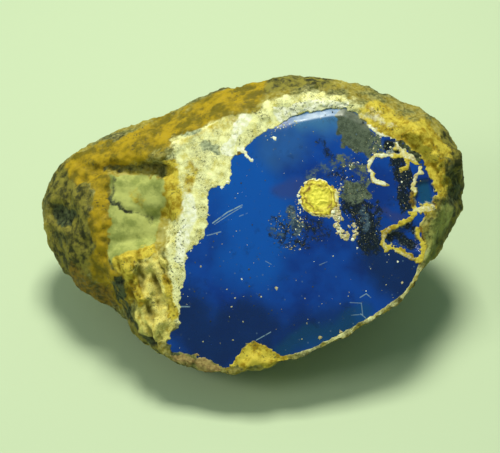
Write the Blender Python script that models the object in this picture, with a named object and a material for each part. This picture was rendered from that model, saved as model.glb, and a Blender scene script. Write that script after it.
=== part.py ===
"""Blue amber nodule: fossil resin in a rind of hardened sediment, with one side ground and polished.

Three solids. The amber fills a pocket in the rind and shows through the window that the grinding
opened. The inclusion is a crumb of the same sediment caught in the amber, which the grinding has cut
through. The rind is the whole rest of the nodule: ochre crust, fracture face, ledges, pits and veins.

The nodule is shaped in its face frame, in millimetres: across is +X, up runs up the polished face and
out points away from it. It is then leaned back, so that the face looks FACE_ELEVATION above the horizon
towards -Y, and stood on the small worn flat under it. Metres, +Z up, origin under the middle of it.
"""

import math
import random

import bmesh
import bpy
import numpy as np
from mathutils import Matrix, Vector, noise

MM = 0.001
FACE_ELEVATION = math.radians(45)
REST_HEIGHT = 17.6  # from the face frame's centre down to the worn flat, mm
REST_CENTRE = (0.2, 0.0)  # x and y of the face frame's centre, mm

# The nodule, seen square on to its face. Distance from the centre to the outline, every 15 degrees,
# counter-clockwise from +across, mm.
NODULE_OUTLINE = (
    33.4, 36.2, 35.2, 31.0, 27.9, 26.0, 23.5, 23.0, 23.4, 24.8, 29.2, 34.9,
    35.7, 32.3, 27.5, 26.8, 25.8, 24.2, 23.2, 22.2, 22.4, 23.4, 26.4, 28.6,
)  # fmt: skip
# Every 30 degrees, the same way round, mm: how far that outline lies in front of the centre, how far
# the stone bulged in front of it before grinding, and how far its back bulges behind it.
OUTLINE_SETTING = (0.5, -2.0, -3.0, -3.0, -4.5, -5.5, -6.0, -2.0, 4.0, 8.5, 9.0, 7.0)
FRONT_BULGE = (14.0, 13.0, 12.5, 13.0, 11.0, 11.0, 12.0, 12.5, 11.5, 12.5, 12.5, 14.0)
BACK_BULGE = (17.5, 17.0, 16.5, 16.0, 15.5, 14.5, 14.0, 17.0, 20.0, 21.5, 22.0, 20.5)
BACK_DEPTH = 18.0  # at the very middle of the back
BACK_FULLNESS = 0.85  # below 1, the back is fuller than an ellipsoid

# The ground face is slightly domed. Its crown, and the slope that turns it up a little from square.
DOME_CROWN = (8.0, -3.0, 9.0)
DOME_RADIUS = 180.0
DOME_SLOPE = 0.10

# What is set in the face: the middle of its outline, the distance from there to the outline, every 15
# degrees for the amber and every 30 for the inclusion, and the depth of the bowl behind it, mm.
AMBER_MIDDLE = (8.7, -2.5)
AMBER_OUTLINE = (
    13.4, 16.4, 18.4, 18.6, 19.6, 21.4, 20.9, 19.7, 18.2, 17.3, 17.0, 16.9,
    17.4, 20.2, 22.6, 23.0, 21.4, 18.4, 17.0, 15.6, 15.0, 15.6, 16.8, 16.4,
)  # fmt: skip
AMBER_DEPTH = 8.0
INCLUSION_MIDDLE = (10.7, 4.6)
INCLUSION_OUTLINE = (3.2, 3.0, 3.3, 3.2, 2.6, 3.0, 3.4, 3.2, 2.8, 3.1, 3.9, 3.6)
INCLUSION_DEPTH = 3.4
JOINT_GAP = 0.3  # between a piece and its pocket, mm
POCKET_CUT_ABOVE = 12.0  # how far a pocket's cutter stands out of the face, mm
GROUND_SIZE = 100.0  # side of the block that cuts the worn flat, mm

# Subdivisions of the icosphere that each starts from, and the faces that are left of it.
RIND_SUBDIVISIONS, AMBER_SUBDIVISIONS, POCKET_SUBDIVISIONS, INCLUSION_SUBDIVISIONS = 7, 5, 4, 3
RIND_FACES, AMBER_FACES = 7100, 900


def turned_values(values, angle):
    """The smooth closed curve through values, which lie evenly round a full turn, read at an angle."""
    values = np.asarray(values, float)
    place = (angle / (2 * math.pi) * len(values)) % len(values)
    index = np.floor(place).astype(int)
    t = place - index
    before, here, there, after = (values[(index + n) % len(values)] for n in (-1, 0, 1, 2))
    bend = 2 * before - 5 * here + 4 * there - after
    return here + 0.5 * t * (there - before + t * (bend + t * (3 * (here - there) + after - before)))


def eased(x):
    """0 below 0, 1 above 1, and smooth between them."""
    x = np.clip(x, 0.0, 1.0)
    return x * x * (3 - 2 * x)


def dome_height(across, up):
    """How far out the ground face lies."""
    x = across - DOME_CROWN[0]
    y = up - DOME_CROWN[1]
    return DOME_CROWN[2] - DOME_SLOPE * y - (x * x + y * y) / (2 * DOME_RADIUS)


def along_line(across, up, points):
    """Distance from each point to a bent line."""
    best = np.full(across.shape, 1e9)
    for (x0, y0), (x1, y1) in zip(points, points[1:]):
        dx, dy = x1 - x0, y1 - y0
        t = np.clip(((across - x0) * dx + (up - y0) * dy) / (dx * dx + dy * dy), 0, 1)
        best = np.minimum(best, np.hypot(across - x0 - t * dx, up - y0 - t * dy))
    return best


def in_oval(across, up, middle, radii, turn=0.0):
    """1 at an oval's middle, 0 at its edge and below 0 outside it."""
    c, s = math.cos(math.radians(turn)), math.sin(math.radians(turn))
    x, y = across - middle[0], up - middle[1]
    return 1 - np.hypot((x * c + y * s) / radii[0], (y * c - x * s) / radii[1])


# Ledges, cracks and ridges of the front: the line each follows, its half width and its height, mm.
LINES = {
    "crevice under the top ledge": (
        ((-28.0, 8.2), (-24.7, 8.8), (-21.3, 9.7), (-17.2, 9.8), (-13.7, 8.8)), 1.2, -2.6,
    ),
    "crack across the fracture": (((-23.5, 5.3), (-21.8, 2.5), (-18.8, 2.7), (-16.3, 0.8)), 0.9, -1.3),
    "ridge beside the face": (((-21.8, -6.2), (-20.5, -10.8), (-17.2, -16.7), (-14.0, -20.0)), 2.4, 1.8),
    "fold in the ridge": (((-17.2, -8.5), (-15.7, -12.3), (-12.8, -13.7)), 0.9, -1.4),
    "groove under the ridge": (((-24.4, -10.0), (-22.4, -14.6), (-19.4, -19.2)), 1.3, -1.8),
    "vein round the upper pocket": (
        ((25.4, 9.0), (23.6, 11.3), (20.5, 11.5), (19.5, 9.4), (21.6, 6.8)), 0.9, 0.9,
    ),
    "vein up the right": (((28.0, 9.0), (26.6, 6.4), (26.4, 3.2), (27.2, 1.6), (30.0, 2.0)), 0.9, 0.9),
    "vein round the lower pocket": (
        ((27.6, 1.2), (24.0, -0.6), (21.6, -2.6), (22.4, -4.4), (26.6, -5.6), (28.2, -3.6)), 0.9, 1.0,
    ),
    "dark line down the right flank": (((34.0, 2.0), (31.0, -2.0), (28.8, -5.0)), 1.0, -0.9),
}  # fmt: skip
# Hollows and swellings of the front: the middle of each, its two radii, its turn in degrees and its
# height, mm.
OVALS = {
    "fracture face": ((-18.7, 1.6), (6.0, 8.6), 12, -2.2),
    "lump on the fracture": ((-17.2, 4.8), (3.2, 2.6), 20, 1.1),
    "step of the left end": ((-28.2, -1.5), (4.0, 9.0), -8, 0.9),
    "hollow in the left end": ((-31.0, 1.4), (3.0, 3.0), 0, -1.6),
    "swelling of the top ledge": ((-16.0, 13.2), (9.0, 2.6), 22, 1.0),
    "lip of the right crust": ((31.0, 11.5), (8.5, 7.0), -40, 1.8),
    "hollow in the right end": ((33.4, 6.6), (3.2, 3.4), 0, -2.4),
    "pit in the corner": ((22.6, 13.0), (1.9, 1.5), 0, -1.8),
    "right pocket": ((28.6, 5.4), (1.9, 2.0), 0, -1.2),
    "lower pocket": ((25.0, -2.6), (2.9, 1.9), 8, -1.5),
    "crust on the lower edge": ((0.4, -22.4), (4.6, 1.7), 6, 0.9),
}  # fmt: skip

# A line's height starts at LINE_EDGE half widths from it. An oval's grows to full height over the share
# 1 / OVAL_EDGE of its radii. All of it fades out towards the nodule's outline over 1 / FRONT_FADE of the
# way to the front.
LINE_EDGE, OVAL_EDGE, FRONT_FADE = 1.5, 4.0, 3.0
# Each feature's outline wanders: how far, mm, and over what length, mm.
WANDERING = ((0.9, 6.0), (0.35, 2.0))
WANDERING_SEED = 1795466729  # noise_vector starts from the clock unless it is given a seed
# Weathering of the whole rind: its height and its size, mm.
WEATHERING = ((0.5, 11.0), (0.45, 5.0), (0.25, 2.4))
SMALL_LUMPS, SMALL_PITS = 90, 70
SPREADS, RISES = (0.05, 0.16), (0.25, 0.75)  # spread as a share of the nodule's radius; height in mm
SEED = 7


def small_relief(directions):
    """Lumps and pits scattered all over the rind, as one height for each direction."""
    rng = random.Random(SEED)
    height = np.zeros(len(directions))
    for n in range(SMALL_LUMPS + SMALL_PITS):
        middle = Vector([rng.gauss(0, 1) for _ in range(3)]).normalized()
        spread = rng.uniform(*SPREADS)
        rise = rng.uniform(*RISES) * (1 if n < SMALL_LUMPS else -1)
        apart = np.linalg.norm(directions - np.array(middle), axis=1)
        height += rise * eased(1 - apart / spread)
    return height


def weathering(points):
    """Weathering in three sizes, as one height for each point in mm."""
    heights = [[height * noise.noise(Vector(p) / size) for height, size in WEATHERING] for p in points]
    return np.sum(heights, axis=1)


def wandered(points):
    """The points shifted a little this way and that, so that no feature keeps a drawn outline."""
    noise.seed_set(WANDERING_SEED)
    shifts = [[far * noise.noise_vector(Vector(p) / size) for far, size in WANDERING] for p in points]
    return points + np.sum(shifts, axis=1)


def front_relief(points):
    """The named ledges, cracks, veins and hollows of the front, as one height for each point in mm."""
    across, up = wandered(points)[:, :2].T
    height = np.zeros(across.shape)
    for line, half_width, rise in LINES.values():
        height += rise * eased(LINE_EDGE - along_line(across, up, line) / half_width)
    for middle, radii, turn, rise in OVALS.values():
        height += rise * eased(OVAL_EDGE * in_oval(across, up, middle, radii, turn))
    return height


def lump(directions):
    """The rounded nodule before grinding, one point for each direction, in the face frame."""
    angle = np.arctan2(directions[:, 1], directions[:, 0]) % (2 * math.pi)
    reach = np.hypot(directions[:, 0], directions[:, 1])
    is_front = directions[:, 2] > 0
    radius = turned_values(NODULE_OUTLINE, angle) * np.where(is_front, reach, reach**BACK_FULLNESS)
    back = BACK_DEPTH + (turned_values(BACK_BULGE, angle) - BACK_DEPTH) * eased(reach)
    depth = np.where(is_front, turned_values(FRONT_BULGE, angle), back)
    out = turned_values(OUTLINE_SETTING, angle) * reach**2 + depth * directions[:, 2]
    return np.stack([radius * np.cos(angle), radius * np.sin(angle), out], axis=1)


def set_in_face(directions, middle, outline, depth, grown, above):
    """A bowl behind the ground face, under that face itself or a cap that stands out of it."""
    angle = np.arctan2(directions[:, 1], directions[:, 0]) % (2 * math.pi)
    radius = (turned_values(outline, angle) + grown) * np.hypot(directions[:, 0], directions[:, 1])
    across = middle[0] + radius * np.cos(angle)
    up = middle[1] + radius * np.sin(angle)
    rise = np.where(directions[:, 2] > 0, above, depth + grown)
    return np.stack([across, up, dome_height(across, up) + rise * directions[:, 2]], axis=1)


def ball(name, subdivisions):
    """An icosphere of radius 1, and its points as directions."""
    mesh = bpy.data.meshes.new(name)
    bm = bmesh.new()
    bmesh.ops.create_icosphere(bm, subdivisions=subdivisions, radius=1.0)
    bm.to_mesh(mesh)
    bm.free()
    directions = np.array([v.co for v in mesh.vertices])
    return mesh, directions / np.linalg.norm(directions, axis=1)[:, None]


def placed(name, mesh, points, collection):
    """An object of that mesh with its points moved to these, leaned back and stood on the ground."""
    mesh.vertices.foreach_set("co", (points * MM).astype(np.float32).ravel())
    lean = Matrix.Rotation(math.pi / 2 - FACE_ELEVATION, 4, "X")
    stand = Matrix.Translation(Vector((*REST_CENTRE, REST_HEIGHT)) * MM)
    mesh.transform(stand @ lean)
    mesh.update()
    obj = bpy.data.objects.new(name, mesh)
    collection.objects.link(obj)
    return obj


def add_modifier(obj, kind, **settings):
    modifier = obj.modifiers.new(kind.capitalize(), kind)
    for key, value in settings.items():
        setattr(modifier, key, value)
    return modifier


def thinned(obj, faces):
    """Drops faces where the surface is smooth, down to about this many."""
    add_modifier(obj, "DECIMATE", ratio=faces / len(obj.data.polygons), use_collapse_triangulate=True)


def finish(name, colour, rough, metallic=0.0):
    material = bpy.data.materials.new(name)
    material.use_nodes = True
    shader = material.node_tree.nodes["Principled BSDF"]
    shader.inputs["Base Color"].default_value = (*colour, 1.0)
    shader.inputs["Roughness"].default_value = rough
    shader.inputs["Metallic"].default_value = metallic
    material.diffuse_color = (*colour, 1.0)
    return material


def cut(obj, cutter):
    add_modifier(obj, "BOOLEAN", operation="DIFFERENCE", object=cutter)


def make_rind(collection, cutters):
    """The nodule's outer surface, ground flat in front, with the amber's pocket and the worn flat cut out."""
    mesh, directions = ball("rind", RIND_SUBDIVISIONS)
    points = lump(directions)
    points += directions * (small_relief(directions) + weathering(points))[:, None]
    is_front = directions[:, 2] > 0
    ground_to = np.where(is_front, dome_height(points[:, 0], points[:, 1]), np.inf)
    relief = eased(FRONT_FADE * directions[:, 2]) * front_relief(points)
    points[:, 2] = np.minimum(points[:, 2], ground_to) + relief
    rind = placed("rind", mesh, points, collection)
    thinned(rind, RIND_FACES)

    mesh, directions = ball("amber_pocket", POCKET_SUBDIVISIONS)
    points = set_in_face(directions, AMBER_MIDDLE, AMBER_OUTLINE, AMBER_DEPTH, JOINT_GAP, POCKET_CUT_ABOVE)
    cut(rind, placed("amber_pocket", mesh, points, cutters))
    size = GROUND_SIZE * MM
    bpy.ops.mesh.primitive_cube_add(size=size, location=(0, 0, -size / 2))
    ground = bpy.context.object
    ground.name = "worn_flat"
    for used in ground.users_collection:
        used.objects.unlink(ground)
    cutters.objects.link(ground)
    cut(rind, ground)
    rind.data.materials.append(finish("ochre_rind", (0.55, 0.42, 0.12), 0.85))
    return rind


def make_amber(collection, cutters):
    """The amber, ground flush with the rind, with the inclusion's pocket cut out."""
    mesh, directions = ball("amber", AMBER_SUBDIVISIONS)
    points = set_in_face(directions, AMBER_MIDDLE, AMBER_OUTLINE, AMBER_DEPTH, 0.0, 0.0)
    amber = placed("amber", mesh, points, collection)
    thinned(amber, AMBER_FACES)

    mesh, directions = ball("inclusion_pocket", INCLUSION_SUBDIVISIONS)
    shape = (INCLUSION_MIDDLE, INCLUSION_OUTLINE, INCLUSION_DEPTH)
    points = set_in_face(directions, *shape, JOINT_GAP, POCKET_CUT_ABOVE)
    cut(amber, placed("inclusion_pocket", mesh, points, cutters))
    amber.data.materials.append(finish("blue_amber", (0.01, 0.09, 0.45), 0.08))
    return amber


def make_inclusion(collection):
    """The crumb of sediment in the amber, ground flush with it."""
    mesh, directions = ball("inclusion", INCLUSION_SUBDIVISIONS)
    points = set_in_face(directions, INCLUSION_MIDDLE, INCLUSION_OUTLINE, INCLUSION_DEPTH, 0.0, 0.0)
    inclusion = placed("inclusion", mesh, points, collection)
    inclusion.data.materials.append(finish("yellow_sediment", (0.60, 0.45, 0.05), 0.7))
    return inclusion


def new_collection(name):
    collection = bpy.data.collections.new(name)
    bpy.context.scene.collection.children.link(collection)
    return collection


def main():
    for obj in list(bpy.data.objects):
        bpy.data.objects.remove(obj)
    nodule = new_collection("blue_amber_nodule")
    cutters = new_collection("cutters")
    make_rind(nodule, cutters)
    make_amber(nodule, cutters)
    make_inclusion(nodule)
    for cutter in cutters.objects:
        cutter.hide_render = True
        cutter.display_type = "WIRE"


main()
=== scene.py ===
"""Blue amber nodule: the finished surfaces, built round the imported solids.

The nodule is worked in its face frame, in millimetres: across is +X, up runs up the ground face and out
points away from it. The sections follow the stone from the rind inwards.
"""

import math
import random

import bmesh
import bpy
import numpy as np
from mathutils import Matrix, Vector, noise
from mathutils.bvhtree import BVHTree


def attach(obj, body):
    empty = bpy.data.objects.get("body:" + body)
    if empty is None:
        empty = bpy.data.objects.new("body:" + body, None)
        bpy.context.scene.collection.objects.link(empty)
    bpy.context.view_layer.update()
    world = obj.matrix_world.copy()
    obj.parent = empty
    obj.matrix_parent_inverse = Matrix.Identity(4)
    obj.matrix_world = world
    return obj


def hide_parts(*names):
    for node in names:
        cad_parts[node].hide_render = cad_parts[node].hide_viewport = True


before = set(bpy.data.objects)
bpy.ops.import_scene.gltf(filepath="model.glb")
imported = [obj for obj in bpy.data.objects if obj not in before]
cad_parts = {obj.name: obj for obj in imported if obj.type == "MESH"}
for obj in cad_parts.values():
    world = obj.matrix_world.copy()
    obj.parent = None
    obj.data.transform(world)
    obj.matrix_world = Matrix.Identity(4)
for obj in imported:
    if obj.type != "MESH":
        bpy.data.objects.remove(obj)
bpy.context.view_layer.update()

# ------------------------------------------------------------
# Camera. It looks square on to the ground face, which leans back 45 degrees, from close by.
# ------------------------------------------------------------
MM = 0.001
FACE_ELEVATION = math.radians(45)
FACE_CENTRE = Vector((0.2, 0.0, 17.6)) * MM
ACROSS = Vector((1, 0, 0))
UP = Vector((0, math.sin(FACE_ELEVATION), math.cos(FACE_ELEVATION)))
OUT = Vector((0, -math.cos(FACE_ELEVATION), math.sin(FACE_ELEVATION)))
CAMERA_DISTANCE = 231.5 * MM
CAMERA_SHIFT = (-0.5 * MM, -0.25 * MM)  # across and up, from the face's centre
LENS = 100.0


def put(name, data):
    """A new object in the scene that shows the mesh, camera or lamp."""
    made = bpy.data.objects.new(name, data)
    bpy.context.scene.collection.objects.link(made)
    return made


camera_data = bpy.data.cameras.new("camera")
camera_data.lens = LENS
camera_data.clip_start = 0.001
camera = put("camera", camera_data)
camera.location = FACE_CENTRE + ACROSS * CAMERA_SHIFT[0] + UP * CAMERA_SHIFT[1] + OUT * CAMERA_DISTANCE
camera.rotation_euler = (-OUT).to_track_quat("-Z", "Y").to_euler()
bpy.context.scene.camera = camera

# ------------------------------------------------------------
# The rind. Sandy sediment that hardened round the resin and weathered: ochre and olive outside, cream
# where the grinding cut it, grey-green where a flake broke off, and folded and yellow below that.
# One stone, so one mesh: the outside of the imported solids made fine, then hollowed under the window.
# ------------------------------------------------------------
GRAIN = 0.38  # size of the mesh's faces, mm
SMOOTHING = 9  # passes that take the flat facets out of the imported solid
DOME_CROWN = (8.0, -3.0, 9.0)  # the ground face's crown, mm
DOME_RADIUS = 180.0
DOME_SLOPE = 0.10
FAR = 80 * MM  # outside the nodule on every side
JOINT_WIDTH = 0.4 * MM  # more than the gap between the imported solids

# The window's edge, where the ground rind gives way to amber, clockwise from the top.
WINDOW_EDGE = [
    (12.5, 19.0), (9.6, 18.5), (6.2, 17.7), (3.2, 15.7), (1.3, 14.9), (-1.0, 13.1), (-1.0, 11.8),
    (-2.1, 11.5), (-2.9, 11.7), (-3.5, 10.2), (-3.7, 7.6), (-4.2, 6.4), (-6.0, 6.4), (-7.1, 5.3),
    (-7.4, 4.0), (-7.1, 2.1), (-7.7, -1.1), (-8.7, -2.7), (-10.6, -4.5), (-10.9, -7.7), (-11.7, -10.9),
    (-11.9, -15.1), (-11.7, -16.2), (-13.3, -17.5), (-13.7, -18.9), (-13.0, -20.3), (-10.0, -20.8),
    (-7.5, -21.5), (-5.3, -22.6), (-3.9, -22.8), (-3.1, -22.3), (-2.7, -21.1), (-1.1, -19.2), (-0.2, -18.8),
    (1.4, -19.1), (3.5, -20.4), (4.6, -21.0), (6.8, -20.5), (9.5, -19.7), (13.1, -17.9), (15.4, -16.6),
    (18.5, -14.9), (21.9, -12.7), (23.5, -11.5), (25.0, -9.9), (26.0, -8.3), (26.7, -6.3), (27.2, -4.7),
    (27.5, -3.1), (26.9, -1.1), (27.1, 0.5), (28.2, 1.9), (29.2, 3.1), (29.8, 5.3), (28.8, 7.9),
    (27.3, 10.7), (25.6, 11.9), (24.2, 13.3), (22.7, 14.1), (20.8, 14.4), (19.0, 15.8), (18.4, 17.3),
    (16.9, 18.1), (15.0, 19.1),
]  # fmt: skip
SMOOTH_EDGE = [(7.0, -20.4), (16.0, -16.8), (24.0, -11.6), (27.4, -4.5)]  # where it is ground thin and even
# Walls of sediment that stand up to the face between pockets of amber: each one's line and half width.
VEINS = [
    ([(26.3, 10.4), (24.6, 11.2), (22.7, 11.2), (19.9, 11.3), (19.0, 10.7), (18.7, 9.5), (19.2, 8.4)], 0.27),
    ([(19.2, 8.4), (19.8, 7.1), (21.5, 6.5)], 0.34),
    ([(24.6, 11.0), (25.1, 9.9), (24.9, 9.1), (23.8, 8.8)], 0.24),
    ([(23.4, 12.9), (25.0, 11.5), (26.6, 10.4)], 0.62),
    ([(27.2, 9.2), (26.3, 7.6), (25.8, 5.8), (25.5, 4.4), (25.6, 3.1), (25.9, 2.1)], 0.32),
    ([(25.9, 2.2), (27.3, 2.3), (28.9, 2.7)], 0.68),
    ([(26.1, 1.9), (24.9, 0.8), (22.7, -0.3), (21.2, -1.1), (20.8, -2.7), (21.1, -3.9)], 0.40),
    ([(21.1, -3.9), (22.3, -3.7), (23.6, -4.0), (24.9, -4.8), (26.0, -5.3), (27.0, -5.2)], 0.50),
    ([(27.0, -5.2), (27.3, -3.4), (26.5, -1.9), (26.7, -0.7)], 0.22),
    ([(-1.9, 12.2), (-1.0, 11.2), (-0.3, 10.5)], 0.16),
]
WALL, WALL_WIDTH = 1.5, 0.7  # the first drop inside the window's edge, mm
BOWL_SLOPE = 4.0  # how steeply the bowl goes down from there to its floor
POCKET_DEPTH = 2.2  # the small pockets at the right, beyond the bowl
RESIN_GAP = 0.3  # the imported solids' pocket is this much larger than the resin
RIM_LIFT = 0.06  # the ground rind stands this much prouder than the softer amber
RIM_ROLL = (0.30, 1.3)  # how far the grinding rounded the rind's top edge down, and over what width
ROLLED_ABOVE, ROLLED_FADE = 15.5, 2.0  # the height on the face where that starts, and how softly
FINE_REACH, FINE_MARGIN = 1.0, 1.5  # the band along the window's edge that gets smaller faces
VEINS_FROM = (18.0, -6.5)  # the veins lie right of this and above it
EDGE_WANDER, EVENED = 0.46, 0.32  # how far the window's edge strays, and how much less where it is even
LOOSE_WANDER = (1.1, 0.5)  # how far the places of the colours stray, broadly and finely
VEIN_WANDER = (0.30, 0.27)
FLUSH_FROM, FLUSH_WIDTH = 0.9, 1.6  # where the rind starts to follow the ground face, outside the edge
FACE_BAND = 2.5  # how far below the face the stone still counts as its front
COARSE_GRIT, FINE_GRIT = (2.4, 0.42), (0.8, 0.16)  # size and height of the crust's lumps
FOLD_HEIGHT, PIT_DEPTH, CREVICE_DEPTH = 0.9, 0.12, 0.42
DOWN_RIDGE, ACROSS_RIDGE, FOLD_LENGTH = (0.35, -0.94), (0.94, 0.35), 4.0  # which way the folds run


def in_face(points):
    """Row frame in metres to face frame in mm."""
    axes = np.array((ACROSS, UP, OUT)).T
    return (points - np.array(FACE_CENTRE)) @ axes / MM


def in_row(face):
    """Face frame in mm to row frame in metres."""
    return face @ np.array((ACROSS, UP, OUT)) * MM + np.array(FACE_CENTRE)


def dome(face):
    """How far out the ground face lies."""
    x, y = face[:, 0] - DOME_CROWN[0], face[:, 1] - DOME_CROWN[1]
    return DOME_CROWN[2] - DOME_SLOPE * y - (x * x + y * y) / (2 * DOME_RADIUS)


def eased(x):
    x = np.clip(x, 0.0, 1.0)
    return x * x * (3 - 2 * x)


def to_line(face, line):
    """Distance from each point to a bent line on the face."""
    best = np.full(len(face), 1e9)
    for (x0, y0), (x1, y1) in zip(line, line[1:]):
        dx, dy = x1 - x0, y1 - y0
        t = np.clip(((face[:, 0] - x0) * dx + (face[:, 1] - y0) * dy) / (dx * dx + dy * dy), 0, 1)
        best = np.minimum(best, np.hypot(face[:, 0] - x0 - t * dx, face[:, 1] - y0 - t * dy))
    return best


def inside(face, outline):
    """Distance inside a closed outline on the face, and below 0 outside it."""
    closed = [*outline, outline[0]]
    within = np.zeros(len(face), bool)
    for (x0, y0), (x1, y1) in zip(closed, closed[1:]):
        if y0 != y1:
            crosses = (y0 > face[:, 1]) != (y1 > face[:, 1])
            within ^= crosses & (face[:, 0] < (x1 - x0) * (face[:, 1] - y0) / (y1 - y0) + x0)
    return np.where(within, 1, -1) * to_line(face, closed)


def stroke(face, line, half_width, soft):
    """1 within the half width of a line, fading to 0 over soft mm."""
    return eased(1 - (to_line(face, line) - half_width) / soft)


def patch(face, outline, soft):
    """1 inside an outline, fading to 0 over soft mm round its edge."""
    return eased(0.5 + inside(face, outline) / soft)


def strongest(*covers):
    return np.maximum.reduce(covers)


def weathering(face, size, octaves=3, seed=0):
    """Rough ground of that grain size, mostly between -1 and 1."""
    away = Vector((17.3, 5.1, 9.7)) * seed
    return np.array([noise.fractal(Vector(p) / size + away, 1.0, 2.0, octaves) for p in face])


def wander(face, size, octaves, seeds):
    """Which way a drawn line strays at each point, across and up."""
    return np.stack([weathering(face, size, octaves, seed) for seed in seeds], axis=1)


def rolled_off(face, from_edge, drop, width):
    """How far the grinding rounded off the top edge of the window, at that distance from it."""
    return drop * eased(1 - from_edge / width) * eased((face[:, 1] - ROLLED_ABOVE) / ROLLED_FADE)


def ball(subdivisions):
    """A round mesh, and the direction of each of its points."""
    body = bmesh.new()
    bmesh.ops.create_icosphere(body, subdivisions=subdivisions, radius=1.0)
    mesh = bpy.data.meshes.new("ball")
    body.to_mesh(mesh)
    body.free()
    directions = np.array([vert.co for vert in mesh.vertices])
    return mesh, directions / np.linalg.norm(directions, axis=1)[:, None]


def outer_skin(parts):
    """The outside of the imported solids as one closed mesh, straight over the joints between them."""
    points, faces = [], []
    for part in parts:
        faces += [[index + len(points) for index in polygon.vertices] for polygon in part.data.polygons]
        points += [vert.co[:] for vert in part.data.vertices]
    solids = BVHTree.FromPolygons(points, faces)
    mesh, directions = ball(7)
    reaches = []
    for direction in directions:
        toward = Vector(direction)
        aside = toward.orthogonal().normalized() * JOINT_WIDTH
        starts = [FACE_CENTRE + toward * FAR + shift for shift in (aside * 0, aside, -aside)]
        hits = [solids.ray_cast(start, -toward)[3] for start in starts]
        reaches.append(FAR - min(hit for hit in hits if hit is not None))
    set_points(mesh, np.array(FACE_CENTRE) + directions * np.array(reaches)[:, None])
    return mesh


def target(mesh):
    """The mesh in the form that rays are cast at."""
    return BVHTree.FromPolygons([v.co[:] for v in mesh.vertices], [p.vertices[:] for p in mesh.polygons])


def seen_from_behind(mesh, spots, far=40.0):
    """How far out the back of a mesh lies at each spot on the face, in mm. Not a number where it misses."""
    back = target(mesh)
    starts = in_row(np.column_stack([spots, np.full(len(spots), -far)]))
    hits = [back.ray_cast(Vector(start), OUT)[3] for start in starts]
    return np.array([np.nan if hit is None else hit / MM - far for hit in hits])


def bowl_depth(face):
    """How deep the rind is hollowed, at most, under each place on the face."""
    behind = seen_from_behind(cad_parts["amber"].data, face[:, :2])
    return np.where(np.isnan(behind), POCKET_DEPTH, dome(face) - behind + RESIN_GAP)


def finished(obj, name):
    """The object's evaluated mesh as a plain new object, in place of the old one."""
    graph = bpy.context.evaluated_depsgraph_get()
    mesh = bpy.data.meshes.new_from_object(obj.evaluated_get(graph))
    bpy.data.objects.remove(obj)
    mesh.name = name
    return put(name, mesh)


def largest_part(mesh):
    """Drops the small closed bubbles that remeshing leaves inside."""
    work = bmesh.new()
    work.from_mesh(mesh)
    parts, seen = [], set()
    for start in work.verts:
        if start in seen:
            continue
        part, waiting = [], [start]
        seen.add(start)
        while waiting:
            vert = waiting.pop()
            part.append(vert)
            for edge in vert.link_edges:
                other = edge.other_vert(vert)
                if other not in seen:
                    seen.add(other)
                    waiting.append(other)
        parts.append(part)
    parts.sort(key=len)
    bmesh.ops.delete(work, geom=[vert for part in parts[:-1] for vert in part], context="VERTS")
    work.to_mesh(mesh)
    work.free()


def refined(mesh, chosen):
    """Splits the chosen faces of a mesh once each way."""
    work = bmesh.new()
    work.from_mesh(mesh)
    work.faces.ensure_lookup_table()
    edges = {edge for index in np.nonzero(chosen)[0] for edge in work.faces[index].edges}
    bmesh.ops.subdivide_edges(work, edges=list(edges), cuts=1, use_grid_fill=True)
    bmesh.ops.triangulate(work, faces=[face for face in work.faces if len(face.verts) > 4])
    work.to_mesh(mesh)
    work.free()


def rows_of(items, key):
    """Three numbers for each point or face of a mesh."""
    flat = np.empty(len(items) * 3, np.float32)
    items.foreach_get(key, flat)
    return flat.reshape(-1, 3).astype(float)


def set_points(mesh, points):
    mesh.vertices.foreach_set("co", points.astype(np.float32).ravel())
    mesh.update()


def store(mesh, name, values):
    """Keeps one number for each point, for the material or the scattering to read."""
    mesh.attributes.new(name, "FLOAT", "POINT").data.foreach_set("value", values.astype(np.float32))


bed = put("rind_bed", outer_skin(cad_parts.values()))
remesh = bed.modifiers.new("fine", "REMESH")
remesh.mode, remesh.voxel_size, remesh.use_smooth_shade = "VOXEL", GRAIN * MM, True
smoothing = bed.modifiers.new("facets_off", "SMOOTH")
smoothing.iterations, smoothing.factor = SMOOTHING, 0.5
rind = finished(bed, "weathered_rind")
largest_part(rind.data)

middles = in_face(rows_of(rind.data.polygons, "center"))
from_edge = inside(middles, WINDOW_EDGE)
by_veins = (from_edge > -FINE_MARGIN) & (middles[:, 0] > VEINS_FROM[0]) & (middles[:, 1] > VEINS_FROM[1])
detailed = (np.abs(from_edge) < FINE_REACH) | by_veins
refined(rind.data, detailed & (middles[:, 2] > dome(middles) - FINE_MARGIN))

base = in_face(rows_of(rind.data.vertices, "co"))
normals = rows_of(rind.data.vertex_normals, "vector")
facing = normals @ np.array(OUT)
front = eased((facing + 0.1) / 0.4)

# No edge on the stone keeps a drawn line: they wander at two sizes.
broad = wander(base, 4.0, 2, (1, 2))
fine = wander(base, 0.9, 3, (3, 4))
even_edge = stroke(base, SMOOTH_EDGE, 1.5, 3.0)
ragged = base[:, :2] + (EDGE_WANDER - EVENED * even_edge)[:, None] * fine
loose = base[:, :2] + LOOSE_WANDER[0] * broad + LOOSE_WANDER[1] * fine
winding = base[:, :2] + VEIN_WANDER[0] * broad + VEIN_WANDER[1] * fine

window = inside(ragged, WINDOW_EDGE)
uneven = 1 + 0.9 * weathering(base, 0.9, 3, 9)
wall = np.max([half * uneven - to_line(winding, line) for line, half in VEINS], axis=0)
wall_here = np.where(window > -0.5, wall, -9.0)
open_amber = np.minimum(window, -wall_here)  # distance into clear amber, from rim or vein
depth = WALL * eased(open_amber / WALL_WIDTH) + BOWL_SLOPE * np.maximum(open_amber - WALL_WIDTH, 0)
depth = np.minimum(depth, bowl_depth(base))
ground = eased(1.5 - np.abs(base[:, 2] - dome(base)) / 0.25) * (facing > 0.5)

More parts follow.
